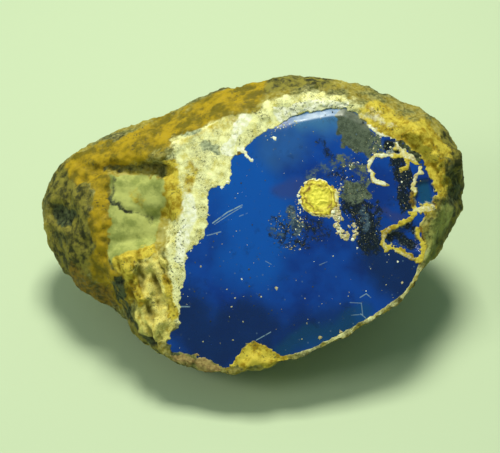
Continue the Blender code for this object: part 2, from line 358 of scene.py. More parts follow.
# What the rind's front shows, as named places on the face.
FRACTURE = [
    (-22.9, 8.5), (-13.8, 7.9), (-13.4, 5.0), (-14.4, 1.7), (-16.4, -2.4), (-19.4, -4.6), (-22.4, -6.5),
    (-23.1, -4.4), (-23.5, 0.7), (-22.9, 4.5),
]  # fmt: skip
RIDGE = [
    (-17.5, -3.1), (-21.8, -5.5), (-20.9, -9.8), (-18.6, -15.4), (-16.6, -19.5), (-13.5, -18.4),
    (-12.1, -15.1), (-12.5, -12.2), (-13.4, -9.8), (-14.5, -6.1), (-16.5, -3.2),
]  # fmt: skip
GROUND_LEFT = [
    (-13.6, 11.2), (-13.4, 13.7), (-8.3, 15.7), (-0.5, 18.7), (6.0, 20.9), (14.0, 21.5), (19.0, 19.2),
    (19.5, 14.5), (14.0, 17.0), (4.0, 14.0), (-3.0, 9.0), (-6.5, 4.0), (-7.5, -3.0), (-10.5, -8.0),
    (-11.5, -17.0), (-13.6, -15.5), (-13.5, -9.0), (-14.6, -3.0), (-12.8, 2.0), (-12.6, 8.0),
]  # fmt: skip
LOOP = [(22.4, 11.3), (19.9, 11.3), (18.8, 10.2), (19.0, 8.8), (19.8, 7.2), (21.4, 6.6)]  # of a vein
POCKET_WALL = [(21.9, -0.7), (20.8, -2.2), (21.3, -4.1), (24.0, -4.5), (26.4, -5.6)]
zones = {
    "cream": strongest(patch(loose, GROUND_LEFT, 2.5), 0.5 * stroke(loose, SMOOTH_EDGE, 0.3, 0.9)),
    "green": strongest(
        patch(loose, FRACTURE, 1.2),
        0.52 * stroke(loose, [(31.4, 2.0), (29.6, -2.0), (28.4, -5.0)], 0.9, 2.2),
    ),
    "folded": patch(loose, RIDGE, 1.8),
    "rust": strongest(
        stroke(loose, [(-24.6, 7.5), (-24.9, 1.0), (-24.4, -7.5)], 0.6, 1.9),
        stroke(loose, [(-29.0, 9.3), (-21.3, 12.2), (-14.8, 15.4), (-8.0, 18.6), (0.0, 22.2)], 1.1, 2.8),
        0.7 * stroke(loose, [(-24.5, -7.5), (-21.5, -12.0)], 1.2, 2.6),
    ),
    "gold": strongest(
        stroke(loose, [(20.5, 17.5), (25.5, 14.5), (29.0, 11.0), (30.0, 7.5)], 1.3, 3.4),
        0.9 * stroke(loose, [(-13.2, 9.4), (-12.9, 5.5), (-13.4, 1.5)], 0.5, 1.6),
        0.6 * stroke(loose, [(-10.2, 9.6), (-9.9, 6.5), (-11.2, 3.4)], 0.2, 1.3),
        stroke(loose, [(-17.3, -3.6), (-21.0, -5.8), (-20.2, -9.6), (-18.6, -12.4)], 0.5, 1.4),
        0.8 * stroke(loose, [(-14.4, -9.2), (-13.4, -12.2), (-13.0, -15.0)], 0.3, 1.0),
        stroke(loose, [(-2.0, -21.4), (1.0, -20.6), (4.0, -21.6)], 1.3, 1.0),
        0.5 * stroke(loose, [(-12.0, 13.4), (-7.0, 15.2), (-2.0, 17.8)], 0.2, 1.1),
        0.45 * stroke(loose, [(-19.4, 5.2), (-17.9, 3.6)], 0.3, 1.2),
        eased(1.2 + 2.4 * wall) * (window > -0.4),
    ),
    "white": strongest(
        stroke(loose, [(-1.6, 17.4), (-3.8, 12.4)], 0.45, 1.0),
        stroke(winding, [(-1.9, 12.2), (-1.0, 11.2), (-0.3, 10.5)], 0.4, 0.5),
        0.9 * stroke(loose, [(-10.6, 3.5), (-10.8, -1.0), (-11.6, -5.5)], 0.6, 1.3),
        # painted highlight: the cream ground rim along the window's top edge, painted white where the lamp's
        # highlight lies
        stroke(loose, [(3.5, 17.8), (6.5, 18.9), (10.0, 19.5), (15.0, 19.9)], 0.4, 0.8),
        0.8 * stroke(loose, [(19.3, 15.9), (21.5, 14.2), (24.4, 13.0), (26.8, 11.0)], 0.1, 0.8),
        0.5 * stroke(winding, [(27.1, 8.9), (26.2, 7.2), (25.8, 5.9)], 0.4, 0.6),
        0.45 * stroke(winding, [(25.9, 2.4), (28.9, 2.8)], 0.4, 0.5),
        0.5 * stroke(winding, [(23.6, 12.6), (25.2, 11.2), (26.4, 10.6)], 0.4, 0.6),
        0.6 * stroke(winding, LOOP, 0.2, 0.5),
        0.42 * stroke(loose, [(18.6, 18.6), (22.8, 16.8)], 0.3, 1.7),
        0.4 * stroke(winding, POCKET_WALL, 0.2, 0.4),
    ),
    # Partly painted shade: dark brown down the sides of the veins, along the underside of the lower left
    # lobe and on the ridge's left flank. The rest is the crust's own red-brown.
    "brown": strongest(
        0.75 * eased((0.02 - wall) / 0.22) * eased((wall + 0.75) / 0.3) * (window > -0.3),
        0.9 * stroke(winding, [(25.4, 5.2), (25.5, 3.6)], 0.3, 0.5),
        0.6 * stroke(loose, [(-30.0, -9.0), (-25.0, -12.5)], 1.0, 3.0),
        0.5 * stroke(loose, [(-21.5, -14.0), (-19.0, -18.0)], 0.3, 1.2),
    ),
    # Mostly painted shade: dark in the crevice under the top band, in the groove left of the ridge, under
    # the lip at the top right, and on the shaded left end, right end and lower right edge. The other short
    # lines are dark cracks and pits.
    "dark": strongest(
        0.55 * stroke(loose, [(-24.2, 9.3), (-20.3, 9.9), (-16.3, 9.6), (-13.9, 9.2)], 0.1, 1.2),
        0.7 * stroke(loose, [(-22.8, 4.6), (-21.5, 2.7), (-20.0, 2.5)], 0.15, 0.9),
        0.5 * stroke(loose, [(-20.0, 2.5), (-18.2, 2.1), (-16.5, 0.7)], 0.0, 0.8),
        0.6 * stroke(winding, [(-22.6, 8.0), (-22.8, 5.4)], 0.0, 0.8),
        0.8 * stroke(loose, [(-33.0, 2.2), (-30.2, 1.2)], 0.5, 1.7),
        0.5 * stroke(loose, [(-33.4, -1.5), (-31.0, -2.4)], 0.4, 1.7),
        0.8 * stroke(loose, [(-22.2, -9.0), (-21.8, -12.8), (-19.5, -16.6), (-16.6, -19.2)], 0.25, 1.3),
        0.8 * stroke(ragged, [(-12.9, -18.8), (-12.4, -20.2)], 0.5, 0.9),
        0.6 * stroke(loose, [(31.8, 9.6), (33.8, 6.5), (32.4, 4.0)], 0.5, 1.8),
        stroke(ragged, [(23.8, 13.4), (26.9, 10.9), (28.0, 8.6)], 0.1, 0.5),
        0.35 * stroke(loose, [(33.5, 1.0), (30.5, -3.6), (28.4, -6.8)], 0.4, 1.4),
    ),
    "peppery": strongest(
        stroke(loose, [(-11.6, -1.5), (-12.2, -8.0), (-12.4, -14.5)], 0.7, 1.4),
        0.8 * stroke(loose, [(4.0, 18.6), (9.0, 20.0), (15.0, 20.3)], 0.4, 1.2),
        0.6 * stroke(loose, [(-8.2, 12.9), (-5.6, 12.4)], 0.8, 1.4),
    ),
    "smear": strongest(
        0.75 * stroke(loose, [(-8.2, 12.9), (-5.6, 12.4)], 0.35, 1.2),
        0.6 * stroke(loose, [(-11.0, 14.6), (-8.6, 15.4)], 0.2, 1.0),
    ),
    "salmon": 0.8 * stroke(loose, [(-12.0, -20.9), (-9.0, -21.9), (-5.8, -23.2)], 0.2, 1.0),
    "olive": strongest(
        0.9 * stroke(loose, [(31.2, 2.4), (29.8, -1.5), (28.6, -4.5)], 1.2, 2.0),
        0.85 * stroke(loose, [(33.4, 14.0), (34.8, 6.0), (34.0, 0.0)], 1.4, 2.6),
        0.75 * stroke(loose, [(-31.0, 7.0), (-30.0, -5.0)], 2.6, 4.2),
        0.85 * stroke(loose, [(-3.0, 22.6), (4.0, 23.6), (12.0, 24.2)], 0.8, 2.2),
        0.7 * stroke(loose, [(-20.0, -17.5), (-16.0, -20.6), (-12.0, -22.4)], 0.4, 1.4),
        0.7 * stroke(loose, [(10.0, -20.6), (16.0, -17.6), (22.4, -13.6), (26.4, -9.4)], 0.2, 1.6),
    ),
}  # fmt: skip
for name, values in zones.items():
    store(rind.data, name, values * front)

# Relief: crusty outside, pitted where ground, folded on the ridge, nearly smooth on the fracture.
smooth_here = np.clip(ground + 1.2 * zones["green"], 0, 1) * front
grit = weathering(base, COARSE_GRIT[0], 4, 5) * COARSE_GRIT[1]
grit += weathering(base, FINE_GRIT[0], 3, 6) * FINE_GRIT[1]
along_ridge = base[:, :2] @ DOWN_RIDGE / FOLD_LENGTH
drawn_out = np.column_stack([base[:, :2] @ ACROSS_RIDGE, along_ridge, base[:, 2] / FOLD_LENGTH])
folds = 1 - 2.2 * np.abs(weathering(drawn_out, 1.3, 3, 7))
pits = eased((weathering(base, 0.75, 2, 8) - 0.28) / 0.25) * ground
raised = (1 - 0.92 * smooth_here) * grit + FOLD_HEIGHT * zones["folded"] * front * (folds - 0.5)
raised -= PIT_DEPTH * pits
raised -= CREVICE_DEPTH * zones["dark"] * front * (1 - ground)
raised *= eased(-window / 0.5) * (1 - 0.6 * eased(1 + window))

top = dome(base) + RIM_LIFT + 0.05 * fine[:, 0] - rolled_off(base, -window, *RIM_ROLL)
in_front = (base[:, 2] > dome(base) - FACE_BAND) & (facing > 0.2)
shaped = in_face(in_row(base) + normals * (raised * MM)[:, None])
flush = eased(1 + (window + FLUSH_FROM) / FLUSH_WIDTH) * in_front
shaped[:, 2] += flush * (top - depth - shaped[:, 2])
is_window = in_front & (window > -FLUSH_FROM)
placed = in_row(shaped)
placed[:, 2] = np.maximum(placed[:, 2], 0.0)
set_points(rind.data, placed)
# painted shade: how far each point lies sunk below the crust's relief, for the colour to darken there
store(rind.data, "sunk_shade", eased(-raised * 1.1))
store(rind.data, "floor", eased(open_amber / 0.25) * is_window)
store(rind.data, "layer", -window)


def wire(tree, kind, inputs=None, **settings):
    """One node, with its settings made and its inputs set or linked."""
    made = tree.nodes.new(kind)
    for key, value in settings.items():
        setattr(made, key, value)
    for key, value in (inputs or {}).items():
        if isinstance(value, bpy.types.NodeSocket):
            tree.links.new(value, made.inputs[key])
        else:
            made.inputs[key].default_value = value
    return made


def mixed(tree, factor, first, second, blend="MIX"):
    """Two colours mixed. Each is a colour or a socket."""
    made = tree.nodes.new("ShaderNodeMix")
    made.data_type, made.blend_type = "RGBA", blend
    for socket, value in ((made.inputs[0], factor), (made.inputs[6], first), (made.inputs[7], second)):
        if isinstance(value, bpy.types.NodeSocket):
            tree.links.new(value, socket)
        elif isinstance(value, tuple):
            socket.default_value = (*value, 1.0)
        else:
            socket.default_value = value
    return made.outputs[2]


def spread(tree, value, low, high, start=0.0, end=1.0):
    """A value between low and high, eased to between start and end."""
    made = wire(tree, "ShaderNodeMapRange", {0: value, 1: low, 2: high, 3: start, 4: end})
    made.interpolation_type = "SMOOTHSTEP"
    return made.outputs[0]


def sums(tree, operation, *values):
    return wire(tree, "ShaderNodeMath", dict(enumerate(values)), operation=operation).outputs[0]


def own_place(tree):
    """Where the shaded point lies in the piece's own coordinates."""
    return wire(tree, "ShaderNodeTexCoord").outputs["Object"]


def grains(tree, size, detail=4.0, rough=0.6, stretch=(1, 1, 1)):
    """Noise whose lumps are about size mm across, in the piece's own coordinates."""
    where = own_place(tree)
    if stretch != (1, 1, 1):
        where = wire(tree, "ShaderNodeMapping", {"Vector": where, "Scale": stretch}).outputs[0]
    made = wire(tree, "ShaderNodeTexNoise", {"Vector": where, "Scale": 1 / (size * MM), "Detail": detail})
    made.inputs["Roughness"].default_value = rough
    return made.outputs[0]


def marked(tree, name):
    return wire(tree, "ShaderNodeAttribute", attribute_name=name).outputs["Fac"]


def material_for(name):
    made = bpy.data.materials.new(name)
    made.use_nodes = True
    return made, made.node_tree, made.node_tree.nodes["Principled BSDF"]


def plug(tree, socket, place):
    tree.links.new(socket, place)


def stained(tree, colour, cover, strength, tint):
    """The colour, stained as strongly as the cover says."""
    return mixed(tree, sums(tree, "MULTIPLY", cover, strength), colour, tint)


def bumped(tree, shader, height, strength, distance):
    """Gives the surface a fine tooth, from a height."""
    bump = wire(tree, "ShaderNodeBump", {"Height": height, "Strength": strength, "Distance": distance})
    plug(tree, bump.outputs[0], shader.inputs["Normal"])


# Every named place: its two colours, and the size of the mottling between them.
PLACES = [
    ("olive", (0.034, 0.036, 0.007), (0.25, 0.22, 0.035), 1.6),
    ("rust", (0.16, 0.125, 0.005), (0.42, 0.285, 0.007), 3.0),
    ("cream", (0.60, 0.52, 0.090), (0.97, 0.97, 0.52), 1.3),
    ("green", (0.24, 0.28, 0.065), (0.45, 0.48, 0.14), 3.2),
    ("folded", (0.36, 0.25, 0.008), (0.97, 0.87, 0.25), 1.1),
    ("gold", (0.33, 0.22, 0.006), (0.66, 0.53, 0.06), 1.5),
    ("white", (0.76, 0.76, 0.44), (0.95, 0.95, 0.78), 0.8),
    ("smear", (0.16, 0.20, 0.12), (0.46, 0.50, 0.30), 0.6),
    ("salmon", (0.26, 0.17, 0.06), (0.45, 0.33, 0.12), 0.7),
    # brown: partly painted shade down the vein sides and under the lower left, partly the crust's own brown
    ("brown", (0.055, 0.032, 0.004), (0.25, 0.155, 0.013), 0.9),
    # dark: mostly painted shade in crevices and on shaded sides and ends, partly dark cracks
    ("dark", (0.012, 0.018, 0.009), (0.09, 0.11, 0.045), 0.7),
]
# The crust everywhere else, from the dark of its hollows to its palest grains.
CRUST = [
    (0.34, (0.020, 0.026, 0.010)),
    (0.43, (0.09, 0.10, 0.022)),
    (0.50, (0.22, 0.17, 0.010)),
    (0.60, (0.35, 0.28, 0.025)),
    (0.72, (0.46, 0.43, 0.15)),
]
BEDDED = ("cream", "folded")  # the places where the sediment's beds and seams show
# the third colour is painted shade for sunk places
SEAM_COLOUR, PEPPER_COLOUR, HOLLOW_SHADE_COLOUR = (0.09, 0.085, 0.02), (0.07, 0.075, 0.03), (0.16, 0.13, 0.04)
stone, tree, shader = material_for("ochre_sediment")
ramp = wire(tree, "ShaderNodeValToRGB", {0: grains(tree, 7.0, 6.0, 0.62)})
stops = ramp.color_ramp.elements
stops[0].position, stops[1].position = CRUST[0][0], CRUST[-1][0]
for position, _ in CRUST[1:-1]:
    stops.new(position)
for stop, (_, tone) in zip(stops, CRUST):
    stop.color = (*tone, 1)
colour = mixed(tree, spread(tree, grains(tree, 0.7), 0.35, 0.75), ramp.outputs[0], (0.50, 0.46, 0.16))
colour = mixed(tree, 0.65, ramp.outputs[0], colour)
strata = wire(tree, "ShaderNodeTexNoise", {"Scale": 1 / (3.2 * MM), "Detail": 5.0}, noise_dimensions="4D")
strata.inputs["Roughness"].default_value = 0.7
plug(tree, own_place(tree), strata.inputs["Vector"])
plug(tree, sums(tree, "MULTIPLY", marked(tree, "layer"), 1.5), strata.inputs["W"])
hairlines = sums(tree, "ABSOLUTE", sums(tree, "SUBTRACT", strata.outputs[0], 0.5))
here_and_there = spread(tree, grains(tree, 2.2), 0.42, 0.54)
seams = sums(tree, "MULTIPLY", spread(tree, hairlines, 0.045, 0.008), here_and_there)
edge = sums(tree, "MULTIPLY_ADD", grains(tree, 0.9, 5.0, 0.7), 0.9, -0.45)
for name, low, high, size in PLACES:
    own = grains(tree, size, 5.0, 0.65)
    bedded = name in BEDDED
    if bedded:
        bedding = sums(tree, "MULTIPLY", strata.outputs[0], 0.55)
        own = sums(tree, "ADD", sums(tree, "MULTIPLY", own, 0.45), bedding)
    own = mixed(tree, spread(tree, own, 0.38, 0.55 if bedded else 0.60), low, high)
    if bedded:
        own = stained(tree, own, seams, 0.75, SEAM_COLOUR)
    cover = spread(tree, sums(tree, "ADD", marked(tree, name), edge), 0.28, 0.72)
    colour = mixed(tree, cover, colour, own)
pepper = spread(tree, grains(tree, 0.34, 2.0, 0.5), 0.57, 0.63)
peppered = sums(tree, "MAXIMUM", spread(tree, grains(tree, 2.2), 0.50, 0.62), marked(tree, "peppery"))
peppered = sums(tree, "MAXIMUM", sums(tree, "SUBTRACT", peppered, marked(tree, "green")), 0.0)
specks = sums(tree, "MULTIPLY", pepper, peppered)
colour = stained(tree, colour, specks, 0.75, PEPPER_COLOUR)
# Painted shade: darker where the relief sinks, in pits, crevices and the dips of the grit.
shaded = sums(tree, "MULTIPLY", marked(tree, "sunk_shade"), 0.6)
colour = mixed(tree, shaded, colour, HOLLOW_SHADE_COLOUR, "MULTIPLY")
floor_tint = mixed(tree, grains(tree, 2.0), (0.10, 0.16, 0.20), (0.32, 0.36, 0.30))
colour = mixed(tree, marked(tree, "floor"), colour, floor_tint)
plug(tree, colour, shader.inputs["Base Color"])
plug(tree, spread(tree, grains(tree, 0.8), 0.3, 0.7, 0.62, 0.92), shader.inputs["Roughness"])
shader.inputs["Specular IOR Level"].default_value = 0.25
height = sums(tree, "ADD", grains(tree, 0.45, 5.0, 0.7), sums(tree, "MULTIPLY", specks, -0.35))
bumped(tree, shader, height, 0.75, 0.16 * MM)
rind.data.materials.clear()
rind.data.materials.append(stone)
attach(rind, "root")
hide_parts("rind")

# ------------------------------------------------------------
# The amber. Clear fossil resin that glows blue: one body that fills the bowl in the rind, ground to a
# slight dome in front. It reaches a little way under the ragged rim and into the rind behind, so that
# nothing but resin lies between its face and the stone.
# ------------------------------------------------------------
AMBER_MIDDLE = (8.0, -2.5)
SIDES = 15.0  # how steeply its sides go down: the depth it would reach, were the bowl that deep, mm
INTO_RIND = 0.35  # how far it reaches into the rind behind, mm
UNDER_RIM = 0.45  # how far it reaches under the ragged rim, mm
STONE_LEFT = 0.15  # the least of the rind that is left outside it, mm
RIM_CHECKED = 0.5  # how far below the face the rim's width is taken, mm
RESIN_ROLL = (0.42, 1.5)  # how far the grinding rounded the resin's top edge down, and over what width
RIM_DROP = 1.2  # how far the resin dips where it runs under the ragged rim, mm
SIDE_BAND, SIDE_BELOW, THINNEST = 1.2, 0.3, 1.5  # which of its side points the stone may draw in, mm
# Pockets at the right where the resin lies lower than the face, and how much.
HOLLOWS = [
    ([(22.0, -1.1), (23.6, -0.5), (25.6, 0.5), (26.2, -0.8), (26.4, -2.4), (26.7, -4.0), (25.2, -4.0),
      (23.6, -3.1), (22.0, -2.9), (21.5, -2.1)], 0.7),
    ([(26.7, 7.0), (28.7, 7.3), (29.6, 5.7), (29.1, 3.2), (26.3, 3.1), (26.0, 4.7)], 0.6),
    ([(21.4, 13.5), (23.5, 13.6), (24.2, 12.2), (23.0, 11.3), (21.4, 11.7)], 0.6),
]  # fmt: skip


def round_curve(values, angle):
    """The smooth closed curve through values that lie evenly round a full turn."""
    values = np.asarray(values, float)
    place = angle / (2 * math.pi) * len(values) % len(values)
    index = np.floor(place).astype(int)
    t = place - index
    before, here, there, after = (values[(index + n) % len(values)] for n in (-1, 0, 1, 2))
    bend = 2 * before - 5 * here + 4 * there - after
    return here + 0.5 * t * (there - before + t * (bend + t * (3 * (here - there) + after - before)))


def reach_of(outline, middle, angles):
    """How far an outline lies from the middle in each direction, its farthest crossing."""
    far = np.zeros(len(angles))
    for (x0, y0), (x1, y1) in zip(outline, [*outline[1:], outline[0]]):
        side = (x1 - x0, y1 - y0)
        start = (x0 - middle[0], y0 - middle[1])
        across = np.cos(angles) * side[1] - np.sin(angles) * side[0]
        across = np.where(across == 0, np.nan, across)
        along = (start[0] * side[1] - start[1] * side[0]) / across
        share = (start[0] * np.sin(angles) - start[1] * np.cos(angles)) / across
        far = np.where((share >= 0) & (share <= 1) & (along > far), along, far)
    return far


def room_for(face, mesh):
    """How far out from its middle the resin may reach, level with each point, and stay in the stone."""
    solid = target(mesh)
    away = face[:, :2] - AMBER_MIDDLE
    away /= np.maximum(np.linalg.norm(away, axis=1), 0.001)[:, None]
    starts = in_row(np.column_stack([AMBER_MIDDLE + away * FAR / MM, face[:, 2]]))
    inward = -away @ np.array((ACROSS, UP))
    hits = [solid.ray_cast(Vector(start), Vector(way))[3] for start, way in zip(starts, inward)]
    return np.array([np.inf if hit is None else (FAR - hit) / MM - STONE_LEFT for hit in hits])


def placed_round(middle, radius, angle):
    """Flat places round a middle: how far each is from it, and at what angle."""
    flat = np.zeros(len(angle))
    return np.stack([middle[0] + radius * np.cos(angle), middle[1] + radius * np.sin(angle), flat], axis=1)


turns = np.linspace(0, 2 * math.pi, 73)[:-1]
reaches = reach_of(WINDOW_EDGE, AMBER_MIDDLE, turns)
reaches = np.max([np.roll(reaches, shift) for shift in (-1, 0, 1)], axis=0)
amber_edge = UNDER_RIM + (np.roll(reaches, 1) + 2 * reaches + np.roll(reaches, -1)) / 4
rim = placed_round(AMBER_MIDDLE, amber_edge, turns)
rim[:, 2] = dome(rim) - RIM_CHECKED
amber_edge = np.minimum(amber_edge, room_for(rim, rind.data))
mesh, toward = ball(7)
angle = np.arctan2(toward[:, 1], toward[:, 0]) % (2 * math.pi)
radius = round_curve(amber_edge, angle) * np.hypot(toward[:, 0], toward[:, 1])
resin = placed_round(AMBER_MIDDLE, radius, angle)
surface = 0.03 * weathering(resin * (1, 1, 0), 6.0, 2, 11)
for outline, drop in HOLLOWS:
    surface -= drop * patch(resin, outline, 0.9)
from_rim = inside(resin, WINDOW_EDGE)
surface -= rolled_off(resin, from_rim, *RESIN_ROLL)
ragged_by = 0.35 - 0.25 * stroke(resin, SMOOTH_EDGE, 1.5, 3.0)
surface -= RIM_DROP * eased(-(from_rim + ragged_by) / 0.7)
thick = np.minimum(SIDES * np.maximum(-toward[:, 2], 0), bowl_depth(resin) + INTO_RIND)
resin[:, 2] = dome(resin) + surface - thick
room = room_for(resin, rind.data)
side = (from_rim < SIDE_BAND) & (dome(resin) - resin[:, 2] > SIDE_BELOW)
side &= (room > radius - THINNEST) & (room < radius)
drawn_in = np.where(side, room / np.maximum(radius, 0.001), 1.0)
resin[:, :2] = AMBER_MIDDLE + (resin[:, :2] - AMBER_MIDDLE) * drawn_in[:, None]
set_points(mesh, in_row(resin))
mesh.polygons.foreach_set("use_smooth", np.ones(len(mesh.polygons), bool))
mesh.name = "blue_amber"
amber = put("blue_amber", mesh)

# What shows in its face, as named places. The soft ones drift and the sharp ones keep close to their line.
drift = resin[:, :2] + 1.6 * wander(resin, 5.0, 3, (12, 13))
crisp = resin[:, :2] + 0.7 * wander(resin, 1.2, 3, (14, 15))
FILM = [
    (13.8, 18.6), (16.1, 19.0), (18.9, 16.9), (19.3, 13.8), (18.3, 12.1), (16.0, 11.8), (14.2, 12.8),
    (13.6, 15.7),
]  # fmt: skip
ASH_ABOVE = [(18.3, 16.0), (20.6, 14.3), (21.4, 12.2), (21.0, 10.9), (18.6, 10.6), (17.6, 12.1)]
shades = {
    "lit": stroke(drift, [(-3.5, 9.0), (1.0, 4.0), (0.0, -4.0)], 3.0, 6.0),
    "rolled": eased(1 - (from_rim - 0.4) / 2.4) * eased((resin[:, 1] - 14.0) / 2.0),
    # painted reflection: a paler blue near the window's top, where the soft lamp's reflection lies
    "painted_sheen": strongest(
        stroke(drift, [(9.0, 17.5), (15.0, 17.5)], 1.2, 4.0),
        0.4 * stroke(drift, [(4.0, 13.5), (8.0, 16.5)], 1.4, 4.4),
    ),
    "navy": strongest(
        stroke(drift, [(-10.5, -15.0), (-7.0, -19.5), (0.0, -17.0)], 2.5, 4.5),
        stroke(drift, [(20.0, -5.5), (24.0, -8.0)], 2.0, 4.5),
        0.8 * stroke(drift, [(4.0, -18.0), (14.0, -15.5)], 1.0, 4.0),
    ),
    "purple": strongest(
        stroke(drift, [(5.0, 5.5), (7.5, 6.5)], 0.8, 1.8),
        stroke(drift, [(21.0, 2.0), (23.0, 0.9)], 0.4, 0.8),
    ),
    "teal": strongest(
        0.6 * stroke(drift, [(5.0, -20.0), (12.0, -17.6), (18.0, -15.0)], 0.8, 2.2),
        stroke(resin, [(27.6, 6.2), (28.0, 4.2)], 0.6, 0.9),
    ),
    "film": patch(crisp, FILM, 0.6),
    "ash": strongest(
        patch(crisp, [(14.8, 7.2), (18.5, 6.8), (19.0, 4.0), (15.5, 3.4), (14.0, 4.6)], 0.8),
        0.9 * patch(crisp, ASH_ABOVE, 0.6),
        0.7 * stroke(crisp, [(14.2, 10.5), (17.5, 9.0), (18.0, 7.0)], 0.5, 0.9),
    ),
    "wisp": strongest(
        stroke(crisp, [(6.2, 2.4), (6.6, 0.4), (7.4, -1.0)], 0.4, 0.8),
        0.6 * stroke(crisp, [(3.0, -0.6), (4.4, -1.8)], 0.3, 0.8),
        0.7 * stroke(crisp, [(17.6, 2.6), (18.0, -0.4)], 0.3, 0.7),
        0.6 * stroke(drift, [(12.0, 10.0), (9.0, 8.2)], 0.5, 1.4),
    ),
    "soot": strongest(
        0.9 * stroke(crisp, [(23.4, 10.2), (24.6, 7.2), (24.6, 3.4)], 0.7, 1.5),
        0.9 * stroke(crisp, [(16.0, 3.6), (18.2, 0.6), (18.6, -2.6)], 1.0, 2.2),
        0.55 * stroke(crisp, [(4.2, -0.8), (7.0, 0.0), (10.6, -1.0)], 1.0, 2.6),
        0.6 * stroke(crisp, [(4.6, -2.6), (8.6, -3.0)], 0.4, 1.2),
        stroke(resin, [(22.0, 12.8), (23.4, 12.4)], 0.6, 0.7),
        stroke(resin, [(22.1, -2.0), (23.2, -1.6), (25.6, -3.4)], 0.35, 0.9),
        0.9 * stroke(resin, [(24.6, 0.2), (26.0, -0.9)], 0.25, 0.8),
        0.6 * stroke(crisp, [(20.3, 3.0), (19.4, -0.5), (19.6, -4.5)], 0.4, 1.2),
        0.5 * stroke(crisp, [(12.6, 8.2), (15.4, 9.6), (17.8, 9.8)], 0.3, 1.6),
        0.55 * stroke(crisp, [(10.8, 13.6), (13.0, 10.4), (14.2, 7.6)], 0.1, 1.0),
    ),
}  # fmt: skip
for name, values in shades.items():
    store(mesh, name, values)

# Scratches in the face, which are colour alone: each one's line, half width and how plainly it shows.
SCRATCHES = [
    ([(-6.5, 0.3), (-4.2, 2.0), (-1.8, 3.2)], 0.09, 1.0),
    ([(-6.2, 0.1), (-3.8, 1.7), (-1.8, 2.9)], 0.06, 0.8),
    ([(-7.4, -1.7), (-5.2, -1.1)], 0.08, 0.7),
    ([(0.5, -18.4), (2.8, -17.1)], 0.07, 0.8),
    ([(-11.5, -13.1), (-10.2, -13.1)], 0.10, 0.7),
    ([(17.2, -14.2), (18.8, -15.6)], 0.06, 0.8),
    ([(17.1, -11.6), (18.1, -11.0), (18.8, -11.6)], 0.07, 0.8),
    ([(15.5, -12.4), (17.3, -12.5), (17.5, -14.3), (15.7, -14.4)], 0.07, 0.5),
    ([(-2.2, 1.4), (-0.9, 1.9)], 0.07, 0.5),
    ([(10.6, -6.4), (11.8, -5.9)], 0.06, 0.5),
    ([(2.0, -5.8), (2.9, -6.3)], 0.06, 0.5),
]


def vectors(tree, operation, first, second):
    return wire(tree, "ShaderNodeVectorMath", {0: first, 1: second}, operation=operation).outputs[0]


def scaled(tree, vector, amount):
    return wire(tree, "ShaderNodeVectorMath", {0: vector, "Scale": amount}, operation="SCALE").outputs[0]


def line_distance(tree, start, end):
    """Distance from the shaded point to a straight line between two places in the piece."""
    along = end - start
    arm = vectors(tree, "SUBTRACT", own_place(tree), start)
    share = vectors(tree, "DOT_PRODUCT", arm, along / along.length_squared)
    share = wire(tree, "ShaderNodeClamp", {0: share.node.outputs["Value"]}).outputs[0]
    return vectors(tree, "DISTANCE", arm, scaled(tree, along, share)).node.outputs["Value"]


DEEP_BLUE, BRIGHT_BLUE = (0.002, 0.058, 0.46), (0.003, 0.105, 0.68)
# Each soft place: its colour and how strongly it shows.
TINTS = [
    ("lit", (0.003, 0.17, 0.88), 0.85),
    ("navy", (0.005, 0.034, 0.17), 0.85),
    ("teal", (0.01, 0.14, 0.28), 0.8),
    ("purple", (0.06, 0.09, 0.38), 0.6),
    # painted reflection of the soft lamp near the window's top, as a paler blue
    ("painted_sheen", (0.10, 0.36, 0.75), 0.8),
]
# Each dirty place: its two colours, how many pale bits it holds and how broken it is.
DIRT = [
    ("soot", (0.002, 0.006, 0.010), (0.010, 0.022, 0.045), 0.45, 1.3),
    ("wisp", (0.02, 0.05, 0.12), (0.16, 0.26, 0.36), 0.4, 1.0),
    ("ash", (0.06, 0.085, 0.055), (0.24, 0.30, 0.20), 0.8, 1.2),
    ("film", (0.095, 0.125, 0.080), (0.20, 0.25, 0.17), 0.25, 0.6),
]
BIT_COLOUR, SCRATCH_COLOUR = (0.46, 0.52, 0.36), (0.50, 0.76, 0.92)
DOT_COLOUR, SMUDGE_COLOUR = (0.20, 0.34, 0.55), (0.003, 0.020, 0.075)
AMBER_IOR, AMBER_CLEAR = 1.54, 0.5
DEPTH_COLOUR, DEPTH_DENSITY = (0.05, 0.42, 0.95, 1), 320.0  # what is left of light on its way through
clear, tree, shader = material_for("blue_resin")
blue = mixed(tree, spread(tree, grains(tree, 6.0, 3.0), 0.35, 0.65), DEEP_BLUE, BRIGHT_BLUE)
for name, tint, strength in TINTS:
    blue = stained(tree, blue, marked(tree, name), strength, tint)
crumbly = grains(tree, 0.9, 6.0, 0.75)
pale_bits = spread(tree, grains(tree, 0.28, 3.0, 0.8), 0.57, 0.66)
for name, low, high, bits, openness in DIRT:
    own = mixed(tree, spread(tree, crumbly, 0.38, 0.60), low, high)
    own = stained(tree, own, pale_bits, bits, BIT_COLOUR)
    broken = sums(tree, "MULTIPLY_ADD", crumbly, 2.2 * openness, -1.1 * openness)
    cover = spread(tree, sums(tree, "ADD", marked(tree, name), broken), 0.30, 0.85)
    blue = mixed(tree, cover, blue, own)
for line, half_width, strength in SCRATCHES:
    ends = in_row(np.array([[*p, dome(np.array([p]))[0]] for p in line]))
    for start, end in zip(ends, ends[1:]):
        near = line_distance(tree, Vector(start), Vector(end))
        mark = spread(tree, near, half_width * 1.6 * MM, half_width * 0.5 * MM)
        mark = sums(tree, "MULTIPLY", mark, spread(tree, grains(tree, 0.5, 3.0), 0.30, 0.50))
        blue = stained(tree, blue, mark, strength, SCRATCH_COLOUR)
pinpricks = wire(tree, "ShaderNodeTexVoronoi", {"Scale": 1 / (0.9 * MM)})
plug(tree, own_place(tree), pinpricks.inputs["Vector"])
